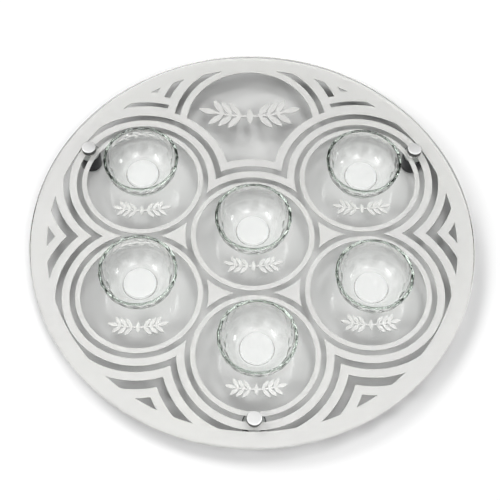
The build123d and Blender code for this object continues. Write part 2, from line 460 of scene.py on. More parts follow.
def run_tree(tree: Tree, name: str, sizes: dict[str, Any]) -> Mesh:
    """Run a Geometry Nodes tree with given sizes and keep the result as a plain mesh.

    Args:
        tree: Tree to run.
        name: Name of the mesh.
        sizes: Value of each named input.

    Returns:
        The finished mesh.
    """
    host = bpy.data.objects.new(name, bpy.data.meshes.new(name))
    bpy.context.scene.collection.objects.link(host)
    modifier = host.modifiers.new(name, "NODES")
    modifier.node_group = tree
    for item in tree.interface.items_tree:
        if item.in_out == "INPUT":
            modifier[item.identifier] = sizes[item.name]
    bpy.context.view_layer.update()
    evaluated = host.evaluated_get(bpy.context.evaluated_depsgraph_get())
    mesh = bpy.data.meshes.new_from_object(evaluated)
    bpy.data.objects.remove(host)
    return mesh


def ring_strip_tree() -> Tree:
    """Build the tree of one turned strip: an arc between two points, spun round the Z axis."""
    tree, size = make_tree("turned_strip", {
        "Segments": 64, "Steps": 8, "Start Radius": 0.0, "Start Height": 0.0,
        "End Radius": 0.01, "End Height": 0.0, "Bulge": 0.0})
    grid = add_node(tree, "GeometryNodeMeshGrid", {
        "Size X": 1.0, "Size Y": 1.0, "Vertices X": calc(tree, "ADD", size["Segments"], 1.0),
        "Vertices Y": calc(tree, "ADD", size["Steps"], 1.0)})
    position = add_node(tree, "GeometryNodeInputPosition").outputs[0]
    spot = add_node(tree, "ShaderNodeSeparateXYZ", {0: position}).outputs
    angle = calc(tree, "MULTIPLY", spot[0], FULL_TURN)
    share = calc(tree, "ADD", spot[1], 0.5)
    run = calc(tree, "SUBTRACT", size["End Radius"], size["Start Radius"])
    rise = calc(tree, "SUBTRACT", size["End Height"], size["Start Height"])
    chord = add_node(tree, "ShaderNodeVectorMath", {0: vector(tree, run, rise)},
                     operation="LENGTH").outputs["Value"]
    arch = calc(tree, "MULTIPLY", share, calc(tree, "SUBTRACT", 1.0, share))
    swell = calc(tree, "MULTIPLY", calc(tree, "MULTIPLY", size["Bulge"], 4.0), arch)
    swell = calc(tree, "DIVIDE", swell, chord)
    radius = calc(tree, "MULTIPLY_ADD", run, share, size["Start Radius"])
    radius = calc(tree, "MULTIPLY_ADD", rise, swell, radius)
    height = calc(tree, "MULTIPLY_ADD", rise, share, size["Start Height"])
    height = calc(tree, "SUBTRACT", height, calc(tree, "MULTIPLY", run, swell))
    across = calc(tree, "MULTIPLY", radius, calc(tree, "COSINE", angle))
    away = calc(tree, "MULTIPLY", radius, calc(tree, "SINE", angle))
    placed = add_node(tree, "GeometryNodeSetPosition",
                      {"Geometry": grid.outputs[0], "Position": vector(tree, across, away, height)})
    return end_tree(tree, placed.outputs[0])


def spun_solid(tree: Tree, strip: Tree, size: Any,
               profile: list[tuple[Any, Any]], bulges: list[Any], steps: list[Any]) -> Socket:
    """Close a solid of turned strips inside a tree.

    Args:
        tree: Tree that takes the strips.
        strip: Tree of one turned strip.
        size: Outputs of the tree's input node; "Segments" is read from it.
        profile: Radius and height of each corner, from the axis round to the axis, as sockets or numbers.
        bulges: Bulge of each strip, as a socket or a number.
        steps: Rows of faces of each strip.

    Returns:
        Socket of the closed solid.
    """
    names = ("Start Radius", "Start Height", "End Radius", "End Height", "Bulge", "Steps", "Segments")
    strips = []
    for (start, end), bulge, count in zip(zip(profile, profile[1:]), bulges, steps):
        values = (*start, *end, bulge, count, size["Segments"])
        node = add_node(tree, "GeometryNodeGroup", dict(zip(names, values)), node_tree=strip)
        strips.append(node.outputs[0])
    joined = add_node(tree, "GeometryNodeJoinGeometry", {0: strips})
    return add_node(tree, "GeometryNodeMergeByDistance",
                    {"Geometry": joined.outputs[0], "Distance": STRIP_SEAM}).outputs[0]


class Cutter(Enum):
    """Tool of a row of cuts."""

    WHEEL = "wheel"
    DRILL = "drill"


def cutter_row_tree(cutter: Cutter, sides: int = 64) -> Tree:
    """Build the tree of a row of cutters, evenly spaced round the Z axis.

    Args:
        cutter: Wheel for flat grinding cuts, or drill for round holes.
        sides: Sides of a drill.

    Returns:
        The tree.
    """
    tree, size = make_tree(f"{cutter.value}_row", {
        "Count": 20, "Radius": 0.03, "Height": 0.02, "Tilt": 0.0, "Turn": 0.0, "Width": 0.02,
        "Depth": 0.01})
    if cutter is Cutter.WHEEL:
        block = vector(tree, size["Depth"], size["Width"], size["Width"])
        tool = add_node(tree, "GeometryNodeMeshCube", {"Size": block}).outputs[0]
        offset = vector(tree, calc(tree, "MULTIPLY", size["Depth"], 0.5))
        tool = add_node(tree, "GeometryNodeTransform", {"Geometry": tool, "Translation": offset}).outputs[0]
    else:
        half = calc(tree, "MULTIPLY", size["Width"], 0.5)
        tool = add_node(tree, "GeometryNodeMeshCylinder",
                        {"Vertices": sides, "Radius": half, "Depth": size["Depth"]}).outputs[0]
    tool = add_node(tree, "GeometryNodeTransform", {
        "Geometry": tool, "Translation": vector(tree, x=size["Radius"], z=size["Height"]),
        "Rotation": vector(tree, y=size["Tilt"])}).outputs[0]
    index = add_node(tree, "GeometryNodeInputIndex").outputs[0]
    pitch = calc(tree, "DIVIDE", FULL_TURN, size["Count"])
    turn = vector(tree, z=calc(tree, "MULTIPLY_ADD", index, pitch, size["Turn"]))
    points = add_node(tree, "GeometryNodePoints", {"Count": size["Count"]}).outputs[0]
    placed = add_node(tree, "GeometryNodeInstanceOnPoints",
                      {"Points": points, "Instance": tool, "Rotation": turn}).outputs[0]
    return end_tree(tree, add_node(tree, "GeometryNodeRealizeInstances", {"Geometry": placed}).outputs[0])


def finish_cut(tree: Tree, solid: Socket, cutters: list[Socket],
               material: Socket, crease: float) -> Tree:
    """Cut a solid, keep its cut edges crisp and give it its material.

    Args:
        tree: Tree that takes the nodes.
        solid: Solid to cut.
        cutters: Solids to take away.
        material: Socket of the material.
        crease: Angle in degrees above which an edge stays sharp.

    Returns:
        The finished tree.
    """
    cut = add_node(tree, "GeometryNodeMeshBoolean", {0: solid, 1: cutters, "Self Intersection": True},
                   operation="DIFFERENCE", solver="EXACT")
    smooth = add_node(tree, "GeometryNodeSetShadeSmooth", {"Geometry": cut.outputs["Mesh"]}, domain="FACE")
    bend = add_node(tree, "GeometryNodeInputMeshEdgeAngle").outputs[0]
    sharp = add_node(tree, "FunctionNodeCompare", {0: bend, 1: math.radians(crease)},
                     operation="GREATER_THAN").outputs[0]
    crisp = add_node(tree, "FunctionNodeBooleanMath", {0: sharp, 1: cut.outputs["Intersecting Edges"]},
                     operation="OR")
    edges = add_node(tree, "GeometryNodeSetShadeSmooth", {
        "Geometry": smooth.outputs[0], "Selection": crisp.outputs[0], "Shade Smooth": False}, domain="EDGE")
    whole = add_node(tree, "GeometryNodeRealizeInstances", {"Geometry": edges.outputs[0]})
    dressed = add_node(tree, "GeometryNodeSetMaterial",
                       {"Geometry": whole.outputs[0], "Material": material})
    return end_tree(tree, dressed.outputs[0])


def keep_piece(name: str, mesh: Mesh, body: str, slot: str, *nodes: str) -> bpy.types.Object:
    """Put a finished mesh in the scene as a piece that stands for CAD nodes.

    Args:
        name: Name of the piece.
        mesh: Mesh with its place in its points.
        body: Body that the piece rides on.
        slot: Material slot of the record; not used.
        nodes: CAD nodes that the piece stands for.

    Returns:
        The new object.
    """
    piece = bpy.data.objects.new(name, mesh)
    bpy.context.scene.collection.objects.link(piece)
    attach(piece, body)
    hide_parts(*nodes)
    log.info("%s: %d faces", name, len(mesh.polygons))
    return piece


@dataclass
class GlassPlate:
    """Round drilled plate of float glass.

    Attributes:
        arris: Width of the ground arrises, in millimetres.
        bond: Depth to which the glass takes in the face of the inlay bonded under it, in millimetres.
        hole_play: How much wider the holes are than the sleeves in them, in millimetres.
        drill_reach: Length of the drill, as a multiple of the glass.
        segments: Sides of the disc.
        crease: Angle above which an edge stays sharp, in degrees.
    """

    arris: float = 0.6
    bond: float = 0.05
    hole_play: float = 0.2
    drill_reach: float = 4.0
    segments: int = 256
    crease: float = 30.0

    def build(self, strip: Tree) -> bpy.types.Object:
        """Spin the disc, drill it for the legs and dress it.

        Args:
            strip: Tree of one turned strip.

        Returns:
            The finished piece.
        """
        low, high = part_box("glass_plate")
        radius = (high.x - low.x) / 2
        sleeve_low, sleeve_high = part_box("glass_sleeve_rear_right")
        sleeve = (sleeve_low + sleeve_high) / 2
        values = {
            "Segments": self.segments, "Radius": radius, "Flat Radius": radius - self.arris * MM,
            "Bottom": low.z - self.bond * MM, "Lower Edge": low.z + self.arris * MM,
            "Upper Edge": high.z - self.arris * MM, "Top": high.z, "Holes": len(LEGS),
            "Hole Circle": math.hypot(sleeve.x, sleeve.y), "First Hole": math.atan2(sleeve.y, sleeve.x),
            "Hole Width": sleeve_high.x - sleeve_low.x + self.hole_play * MM,
            "Hole Depth": self.drill_reach * (high.z - low.z), "Material": PLATE_GLASS.make()}
        tree, size = make_tree("drilled_plate", values)
        profile = [
            (0.0, size["Bottom"]), (size["Flat Radius"], size["Bottom"]),
            (size["Radius"], size["Lower Edge"]), (size["Radius"], size["Upper Edge"]),
            (size["Flat Radius"], size["Top"]), (0.0, size["Top"])]
        strips = len(profile) - 1
        solid = spun_solid(tree, strip, size, profile, [0.0] * strips, [1] * strips)
        drills = add_node(tree, "GeometryNodeGroup", {
            "Count": size["Holes"], "Radius": size["Hole Circle"], "Height": size["Top"],
            "Turn": size["First Hole"], "Width": size["Hole Width"], "Depth": size["Hole Depth"]},
            node_tree=cutter_row_tree(Cutter.DRILL))
        finish_cut(tree, solid, [drills.outputs[0]], size["Material"], self.crease)
        mesh = run_tree(tree, "plate_of_glass", values)
        return keep_piece("plate_of_glass", mesh, PLATE_BODY, "plate_glass", "glass_plate")


@dataclass
class Inlay:
    """Steel sheets of the pattern, bonded under the glass; the CAD nodes stay and take their finish.

    Attributes:
        prefixes: How the names of the sheets' nodes begin.
    """

    prefixes: tuple[str, ...] = ("rim_plate", "loop_band", "place_ring_", "spandrel_", "leaf_spray_")

    def dress(self) -> None:
        """Give every sheet of the pattern the satin finish."""
        steel = INLAY_STEEL.make()
        for name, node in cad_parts.items():
            if name.startswith(self.prefixes):
                node.data.materials.clear()
                node.data.materials.append(steel)
                log.info("%s: dressed", name)


@dataclass
class LegSet:
    """Turned pieces of one leg, from the rubber foot to the cap on the glass.

    Attributes:
        leg: Which leg.
        segments: Sides of each turned piece.
        cap_edge: Rounding of the cap's upper edge, in millimetres.
        cap_dish: How far the middle of the cap's top lies below its edge, in millimetres.
        barrel_edge: Rounding of the barrel's edges, in millimetres.
        foot_edge: Rounding of the foot pad, in millimetres.
        seat_gap: Film of air under a washer that lies on the glass, in millimetres.
        stud_play: Gap round the stud in the cap and the barrel, in millimetres.
        washer_play: Gap round the stud in the washers and the sleeve, in millimetres.
        foot_play: Gap round the foot pad in the barrel, in millimetres.
        stud_end: Depth of the barrel's hole below the stud, in millimetres.
        thread_pitch: Pitch of the stud's thread, in millimetres.
        thread_depth: Depth of the stud's thread, in millimetres.
        plain_turns: Turns that the thread is short of the whole stud.
        finishes: Material of each slot.
    """

    leg: str
    segments: int = 96
    cap_edge: float = 0.9
    cap_dish: float = 0.05
    barrel_edge: float = 0.8
    foot_edge: float = 0.5
    seat_gap: float = 0.04
    stud_play: float = 0.05
    washer_play: float = 0.1
    foot_play: float = 0.1
    stud_end: float = 0.5
    thread_pitch: float = 1.0
    thread_depth: float = 0.55
    plain_turns: float = 1.5
    finishes: dict[str, bpy.types.Material] = field(default_factory=dict)

    def sizes(self, piece: str) -> tuple[Vector, float, float, float]:
        """Read a piece's axis, radius, bottom and top from its CAD node."""
        low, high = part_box(f"{piece}_{self.leg}")
        axis = Vector(((low.x + high.x) / 2, (low.y + high.y) / 2, 0.0))
        return axis, (high.x - low.x) / 2, low.z, high.z

    def turn(self, piece: str, profile: list[tuple[float, float]], slot: str) -> bpy.types.Object:
        """Turn a piece on its axis and dress it.

        Args:
            piece: Name of the CAD node without the leg.
            profile: Radius and height of each corner, round the section, in metres.
            slot: Material slot of the record.

        Returns:
            The finished piece.
        """
        axis = self.sizes(piece)[0]
        mesh = turned_mesh(f"turned_{piece}_{self.leg}", axis, profile, self.segments)
        mesh.materials.append(self.finishes[slot])
        return keep_piece(f"turned_{piece}_{self.leg}", mesh, PLATE_BODY, slot, f"{piece}_{self.leg}")

    def build_cap(self) -> None:
        """Turn the cap: a rounded edge, a slightly dished top and a blind hole for the stud."""
        _, radius, low, high = self.sizes("cap")
        _, stud_radius, _, stud_top = self.sizes("stud")
        edge = self.cap_edge * MM
        corner = rounded((radius - edge, high - edge), edge, 0.0, 90.0)
        bore = stud_radius + self.stud_play * MM
        profile = [(bore, low), (radius, low), *corner, (0.0, high - self.cap_dish * MM),
                   (0.0, stud_top), (bore, stud_top)]
        self.turn("cap", profile, "cap_steel")

    def build_barrel(self) -> None:
        """Turn the leg barrel with rounded edges, its thread hole and the seat of the foot."""
        _, radius, low, high = self.sizes("leg_barrel")
        _, stud_radius, stud_low, _ = self.sizes("stud")
        _, foot_radius, _, foot_high = self.sizes("foot_pad")
        edge = self.barrel_edge * MM
        seat = foot_radius + self.foot_play * MM
        floor = stud_low - self.stud_end * MM
        bore = stud_radius + self.stud_play * MM
        profile = [(0.0, foot_high), (seat, foot_high), (seat, low),
                   *rounded((radius - edge, low + edge), edge, -90.0, 0.0),
                   *rounded((radius - edge, high - edge), edge, 0.0, 90.0),
                   (bore, high), (bore, floor), (0.0, floor)]
        self.turn("leg_barrel", profile, "leg_steel")

    def build_foot(self) -> None:
        """Turn the rubber foot with a rounded tread."""
        _, radius, low, high = self.sizes("foot_pad")
        edge = self.foot_edge * MM
        tread = rounded((radius - edge, low + edge), edge, -90.0, 0.0)
        profile = [(0.0, low), *tread, (radius, high), (0.0, high)]
        self.turn("foot_pad", profile, "foot_rubber")

    def build_washer(self, piece: str, slot: str, gap: float) -> None:
        """Turn a washer or sleeve with softly rounded rims.

        Args:
            piece: Name of the CAD node without the leg.
            slot: Material slot of the record.
            gap: Film of air under the piece, in millimetres.
        """
        _, radius, low, high = self.sizes(piece)
        bore = self.sizes("stud")[1] + self.washer_play * MM
        low += gap * MM
        edge = (high - low) / 4
        profile = [(bore, low), *rounded((radius - edge, low + edge), edge, -90.0, 0.0),
                   *rounded((radius - edge, high - edge), edge, 0.0, 90.0), (bore, high)]
        self.turn(piece, [*profile, profile[0]], slot)

    def build_stud(self, thread: Tree) -> None:
        """Run a rolled thread along the stud.

        Args:
            thread: Tree of a threaded rod.
        """
        axis, radius, low, high = self.sizes("stud")
        depth, pitch = self.thread_depth * MM, self.thread_pitch * MM
        values = {
            "Length": high - low, "Core Radius": radius - depth, "Ridge Path": radius - depth,
            "Ridge Radius": depth, "Turns": (high - low) / pitch - self.plain_turns, "Pitch": pitch,
            "Material": self.finishes["stud_steel"]}
        mesh = run_tree(thread, f"threaded_stud_{self.leg}", values)
        mesh.transform(Matrix.Translation(axis + Vector((0, 0, low))))
        turning = mesh.attributes.new("turning", "FLOAT", "POINT")
        for point, vertex in zip(turning.data, mesh.vertices):
            point.value = vertex.co.z
        keep_piece(f"threaded_stud_{self.leg}", mesh, PLATE_BODY, "stud_steel", f"stud_{self.leg}")

    def build(self, thread: Tree) -> None:
        """Build every piece of the leg.

        Args:
            thread: Tree of a threaded rod.
        """
        self.build_foot()
        self.build_barrel()
        self.build_washer("lower_gasket", "gasket_clear", 0.0)
        self.build_washer("glass_sleeve", "sleeve_nylon", 0.0)
        self.build_washer("upper_gasket", "gasket_clear", self.seat_gap)
        self.build_stud(thread)
        self.build_cap()


def rounded(centre: tuple[float, float], radius: float, start: float,
            end: float) -> list[tuple[float, float]]:
    """Points of a rounded edge in a turned profile.

    Args:
        centre: Radius and height of the arc's centre.
        radius: Radius of the arc.
        start: First angle, in degrees.
        end: Last angle, in degrees.

    Returns:
        Radius and height of each point.
    """
    step = (end - start) / EDGE_STEPS
    angles = [math.radians(start + step * number) for number in range(EDGE_STEPS + 1)]
    return [(centre[0] + radius * math.cos(a), centre[1] + radius * math.sin(a)) for a in angles]


def turned_mesh(name: str, axis: Vector, profile: list[tuple[float, float]], segments: int) -> Mesh:
    """Spin a profile round an axis into a closed mesh with crisp corners.

    Args:
        name: Name of the mesh.
        axis: Point on the vertical axis.
        profile: Radius and height of each corner, round the section.
        segments: Sides of the mesh.

    Returns:
        The mesh, with the length along the profile in its "turning" attribute.
    """
    shape = bmesh.new()
    layer = shape.verts.layers.float.new("turning")
    rings = []
    length = 0.0
    previous = profile[0]
    for radius, height in profile:
        length += math.hypot(radius - previous[0], height - previous[1])
        previous = (radius, height)
        ring = []
        for step in range(segments):
            angle = FULL_TURN * step / segments
            arm = Vector((radius * math.cos(angle), radius * math.sin(angle), height))
            vertex = shape.verts.new(axis + arm)
            vertex[layer] = length
            ring.append(vertex)
        rings.append(ring)
    for lower, upper in zip(rings, rings[1:]):
        for step in range(segments):
            after = (step + 1) % segments
            shape.faces.new((lower[step], lower[after], upper[after], upper[step]))
    if profile[0][0] > 0 and profile[0] != profile[-1]:
        for step in range(segments):
            after = (step + 1) % segments
            shape.faces.new((rings[-1][step], rings[-1][after], rings[0][after], rings[0][step]))
    bmesh.ops.remove_doubles(shape, verts=shape.verts, dist=TURNED_SEAM)
    bmesh.ops.recalc_face_normals(shape, faces=shape.faces)
    for face in shape.faces:
        face.smooth = True
    for edge in shape.edges:
        edge.smooth = edge.calc_face_angle(0.0) < TURNED_CREASE
    mesh = bpy.data.meshes.new(name)
    shape.to_mesh(mesh)
    shape.free()
    return mesh


def threaded_rod_tree() -> Tree:
    """Build the tree of a stud: a plain core with a ridge wound round it."""
    tree, size = make_tree("threaded_rod", {
        "Length": 0.02, "Core Radius": 0.0025, "Ridge Path": 0.0025, "Ridge Radius": 0.0005, "Turns": 10.0,
        "Pitch": 0.001, "Material": None})
    core = add_node(tree, "GeometryNodeMeshCylinder",
                    {"Vertices": 48, "Radius": size["Core Radius"], "Depth": size["Length"]})
    lift = vector(tree, z=calc(tree, "MULTIPLY", size["Length"], 0.5))
    core = add_node(tree, "GeometryNodeTransform",
                    {"Geometry": core.outputs["Mesh"], "Translation": lift}).outputs[0]
    climb = calc(tree, "MULTIPLY", size["Turns"], size["Pitch"])
    path = add_node(tree, "GeometryNodeCurveSpiral", {
        "Resolution": 36, "Rotations": size["Turns"], "Start Radius": size["Ridge Path"],
        "End Radius": size["Ridge Path"], "Height": climb}).outputs[0]
    section = add_node(tree, "GeometryNodeCurvePrimitiveCircle",
                       {"Resolution": 4, "Radius": size["Ridge Radius"]}).outputs[0]
    ridge = add_node(tree, "GeometryNodeCurveToMesh",
                     {"Curve": path, "Profile Curve": section, "Fill Caps": True}).outputs[0]
    ridge = add_node(tree, "GeometryNodeTransform",
                     {"Geometry": ridge, "Translation": vector(tree, z=size["Pitch"])}).outputs[0]
    joined = add_node(tree, "GeometryNodeJoinGeometry", {0: [core, ridge]})
    whole = add_node(tree, "GeometryNodeRealizeInstances", {"Geometry": joined.outputs[0]})
    dressed = add_node(tree, "GeometryNodeSetMaterial",
                       {"Geometry": whole.outputs[0], "Material": size["Material"]})
    return end_tree(tree, dressed.outputs[0])


@dataclass(frozen=True)
class FacetRow:
    """One row of ground facets round a cup.

    Attributes:
        height: Height of the facets' middle above the base, in millimetres.
        depth: How deep the wheel cuts, in millimetres.
        turn: Turn of the row as a share of the facets' pitch.
    """

    height: float
    depth: float
    turn: float


@dataclass
class CupSet:
    """Six loose cups of pressed glass, each with rows of facets ground below its rim.

    Lengths are in millimetres.

    Attributes:
        base_radius: Outer radius of the base, on which the cup stands.
        rim_radius: Outer radius of the rim.
        height: Height of the cup.
        rim_wall: Wall at the rim.
        rim_rounding: Rounding of the rim's edges.
        floor_radius: Radius of the flat floor inside.
        floor_height: Height of that floor above the foot of the cup.
        outer_bulge: How far the outer wall bows out of a straight line.
        inner_bulge: The same for the inner wall.
        recess_radius: Radius of the recess under the base.
        recess_depth: Depth of the recess.
        recess_wall: Width of the slope round the recess.
        satin_radius: Radius of the ground disc on the floor.
        satin_edge: Width over which the disc turns clear.
        haze: Share of the ground look just round the disc.
        haze_height: Height above the floor at which the haze has gone.
        clear_rim: Width of the band below the rim that has no haze.
        air_film: Film of air under the cup.
        facet_count: Facets in each row.
        wheel_width: Width of the grinding wheel's cut.
        wheel_depth: Thickness of the cutter behind its face.
        segments: Sides of the bowl.
        wall_steps: Rows of faces up each wall.
        crease: Angle above which an edge stays sharp, in degrees.
        turn_between_cups: Turn from one cup to the next, in degrees.
        rows: Rows of facets, from the top.
    """

    base_radius: float = 17.0
    rim_radius: float = 34.0
    height: float = 29.0
    rim_wall: float = 3.0
    rim_rounding: float = 0.5
    floor_radius: float = 17.6
    floor_height: float = 4.6
    outer_bulge: float = 4.6
    inner_bulge: float = 3.4
    recess_radius: float = 14.5
    recess_depth: float = 0.9
    recess_wall: float = 0.6
    satin_radius: float = 13.8
    satin_edge: float = 0.3
    haze: float = 0.6
    haze_height: float = 16.0
    clear_rim: float = 1.5
    air_film: float = 0.06
    facet_count: int = 20
    wheel_width: float = 15.0
    wheel_depth: float = 6.0
    segments: int = 160
    wall_steps: int = 28
    crease: float = 5.0
    turn_between_cups: float = 5.0
    rows: tuple[FacetRow, ...] = (
        FacetRow(25.8, 0.75, 0.0), FacetRow(20.6, 0.7, 0.5), FacetRow(15.4, 0.65, 0.0))

    def wall_point(self, height: float) -> tuple[float, float]:
        """Radius and lean of the outer wall at a height.

        Args:
            height: Height above the base.

        Returns:
            Radius of the wall, and the angle in radians by which it leans out from upright.
        """
        run, rise = self.rim_radius - self.base_radius, self.height
        chord = math.hypot(run, rise)

        def at(share: float) -> tuple[float, float]:
            """Radius and height at a share of the way up."""
            swell = 4 * self.outer_bulge * share * (1 - share) / chord
            return self.base_radius + run * share + rise * swell, rise * share - run * swell

        share = height / self.height
        for _ in range(20):
            share += (height - at(share)[1]) / self.height
        ahead, behind = at(share + 0.001), at(share - 0.001)
        return at(share)[0], math.atan2(ahead[0] - behind[0], ahead[1] - behind[1])

    def values(self) -> dict[str, Any]:
        """Work out the value of each named input of the tree, in metres and radians."""
        lip = self.rim_radius - self.rim_wall
        lengths = {
            "Recess Height": self.recess_depth, "Recess Radius": self.recess_radius,
            "Ring Radius": self.recess_radius + self.recess_wall, "Base Radius": self.base_radius,
            "Rim Radius": self.rim_radius, "Shoulder Height": self.height - self.rim_rounding,
            "Outer Crown": self.rim_radius - self.rim_rounding, "Inner Crown": lip + self.rim_rounding,
            "Height": self.height, "Lip Radius": lip, "Floor Radius": self.floor_radius,
            "Floor Height": self.floor_height, "Satin Edge": self.satin_radius + self.satin_edge,
            "Satin Radius": self.satin_radius, "Outer Bulge": self.outer_bulge,
            "Inner Bulge": -self.inner_bulge, "Crown Bulge": self.rim_rounding * (1 - math.sqrt(0.5)),
            "Wheel Width": self.wheel_width, "Wheel Depth": self.wheel_depth}
        values: dict[str, Any] = {name: size * MM for name, size in lengths.items()}
        counts = {"Segments": self.segments, "Wall Steps": self.wall_steps, "Facets": self.facet_count}
        values.update(counts)
        for number, row in enumerate(self.rows, 1):
            radius, lean = self.wall_point(row.height)
            values[f"Row {number} Radius"] = (radius - row.depth * math.cos(lean)) * MM
            values[f"Row {number} Height"] = (row.height + row.depth * math.sin(lean)) * MM
            values[f"Row {number} Tilt"] = lean
            values[f"Row {number} Turn"] = row.turn * FULL_TURN / self.facet_count
        values["Material"] = CUP_GLASS.make()
        return values

    def tree(self, strip: Tree, values: dict[str, Any]) -> Tree:
        """Build the tree of one cup: a turned bowl, then the wheel cuts.

        Args:
            strip: Tree of one turned strip.
            values: Value of each named input.

        Returns:
            The tree.
        """
        tree, size = make_tree("cut_glass_cup", values)
        profile = [
            (0.0, size["Recess Height"]), (size["Recess Radius"], size["Recess Height"]),
            (size["Ring Radius"], 0.0), (size["Base Radius"], 0.0),
            (size["Rim Radius"], size["Shoulder Height"]),
            (size["Outer Crown"], size["Height"]), (size["Inner Crown"], size["Height"]),
            (size["Lip Radius"], size["Shoulder Height"]), (size["Floor Radius"], size["Floor Height"]),
            (size["Satin Edge"], size["Floor Height"]), (size["Satin Radius"], size["Floor Height"]),
            (0.0, size["Floor Height"])]
        bulges = [0.0, 0.0, 0.0, size["Outer Bulge"], size["Crown Bulge"], 0.0, size["Crown Bulge"],
                  size["Inner Bulge"], 0.0, 0.0, 0.0]
        steps = [1, 1, 1, size["Wall Steps"], 4, 1, 4, size["Wall Steps"], 1, 1, 1]
        bowl = spun_solid(tree, strip, size, profile, bulges, steps)
        wheel = cutter_row_tree(Cutter.WHEEL)
        cuts = []
        for number in range(1, len(self.rows) + 1):
            row = {key: size[f"Row {number} {key}"] for key in ("Radius", "Height", "Tilt", "Turn")}
            cuts.append(add_node(tree, "GeometryNodeGroup", {
                **row, "Count": size["Facets"], "Width": size["Wheel Width"], "Depth": size["Wheel Depth"]},
                node_tree=wheel).outputs[0])
        return finish_cut(tree, bowl, cuts, size["Material"], self.crease)

    def ground_share(self, vertex: bpy.types.MeshVertex) -> float:
        """How far a point is ground: all of the floor's disc, then less and less up the inside.

        Args:
            vertex: Point of the cup, which stands on the origin.

        Returns:
            Share from 0 to 1.
        """
        touch, upward = 0.01, 0.05
        height = vertex.co.z / MM
        rise = height - self.floor_height
        if abs(rise) < touch and vertex.co.xy.length / MM < self.satin_radius + self.satin_edge / 2:
            return 1.0
        inside = vertex.normal.z > upward and rise > -touch and height < self.height - self.clear_rim
        return self.haze * max(0.0, 1.0 - rise / self.haze_height) if inside else 0.0

    def build(self, strip: Tree) -> None:
        """Make one cup and stand a copy on every place.

        Args:
            strip: Tree of one turned strip.
        """
        values = self.values()
        cup = run_tree(self.tree(strip, values), "cut_cup", values)
        ground = cup.attributes.new("ground", "FLOAT", "POINT")
        for point, vertex in zip(ground.data, cup.vertices):
            point.value = self.ground_share(vertex)
        for number, place in enumerate(PLACES):
            low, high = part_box(f"cup_{place}")
            spot = Vector(((low.x + high.x) / 2, (low.y + high.y) / 2, low.z + self.air_film * MM))
            mesh = cup.copy()
            turn = Matrix.Rotation(math.radians(number * self.turn_between_cups), 4, "Z")
            mesh.transform(Matrix.Translation(spot) @ turn)
            keep_piece(f"cut_cup_{place}", mesh, f"cup_{place}_body", "cup_glass", f"cup_{place}")


@dataclass(frozen=True)
class SoftBox:
    """Soft light in the studio dome.

    Attributes:
        azimuth: Direction round the object, in degrees from +X towards +Y.
        elevation: Height above the horizon, in degrees.
        width: Half of its width, as a tangent.
        height: Half of its height, as a tangent.
        fade: Share of the half size over which its edge fades.
        light: Brightness with which it lights matt things.
        glint: Brightness with which it shows in gloss and glass.
    """

    azimuth: float
    elevation: float
    width: float
    height: float
    fade: float
    light: float
    glint: float

    def add(self, tree: Tree, direction: Socket, clean: Socket) -> Socket:
        """Add the light to the world's nodes.

        Args:
            tree: World node tree.
            direction: Socket of the direction that a ray leaves in.
            clean: Socket that is 1 where the ray has met only gloss and glass.

        Returns:
            Socket of the added brightness.
        """
        a, e = math.radians(self.azimuth), math.radians(self.elevation)
        forward = Vector((math.cos(a) * math.cos(e), math.sin(a) * math.cos(e), math.sin(e)))
        side = Vector((-math.sin(a), math.cos(a), 0.0))
        up = forward.cross(side)

        def reach(axis: Vector) -> Socket:
            """How far the direction goes along an axis."""
            return add_node(tree, "ShaderNodeVectorMath", {0: direction, 1: axis},
                            operation="DOT_PRODUCT").outputs["Value"]

        ahead = reach(forward)
        mask = calc(tree, "GREATER_THAN", ahead, 0.0)
        for axis, half in ((side, self.width), (up, self.height)):
            away = calc(tree, "ABSOLUTE", calc(tree, "DIVIDE", reach(axis), ahead))
            inside = remap(tree, away, (half * (1 - self.fade), half), (1.0, 0.0), smooth=True)
            mask = calc(tree, "MULTIPLY", mask, inside)
        return calc(tree, "MULTIPLY", mask, remap(tree, clean, (0.0, 1.0), (self.light, self.glint)))


@dataclass(frozen=True)
class ScreenRing:
    """White screens that stand round the table and show only in gloss and glass.

    Attributes:
        count: Number of screens.
        cover: Share of the full turn that they cover.
        soft: Share of a screen's width over which its edge fades.
        top: Height, as a sine, at which the screens have faded out.
        strength: Brightness of the screens.
    """

    count: int = 9
    cover: float = 0.5
    soft: float = 0.15
    top: float = 0.72
    strength: float = 1.3

    def add(self, tree: Tree, direction: Socket, clean: Socket) -> Socket:
        """Add the screens to the world's nodes.

        Args:
            tree: World node tree.
            direction: Socket of the direction that a ray leaves in.
            clean: Socket that is 1 where the ray has met only gloss and glass.

        Returns:
            Socket of the added brightness.
        """
        parts = add_node(tree, "ShaderNodeSeparateXYZ", {0: direction}).outputs
        turns = calc(tree, "MULTIPLY", calc(tree, "ARCTAN2", parts[1], parts[0]), self.count / FULL_TURN)
        swing = calc(tree, "PINGPONG", turns, 0.5)
        half = self.cover / 2
        inside = remap(tree, swing, (half * (1 - self.soft), half), (1.0, 0.0), smooth=True)
        fade = remap(tree, parts[2], (self.top / 2, self.top), (self.strength, 0.0), smooth=True)
        return calc(tree, "MULTIPLY", calc(tree, "MULTIPLY", inside, fade), clean)


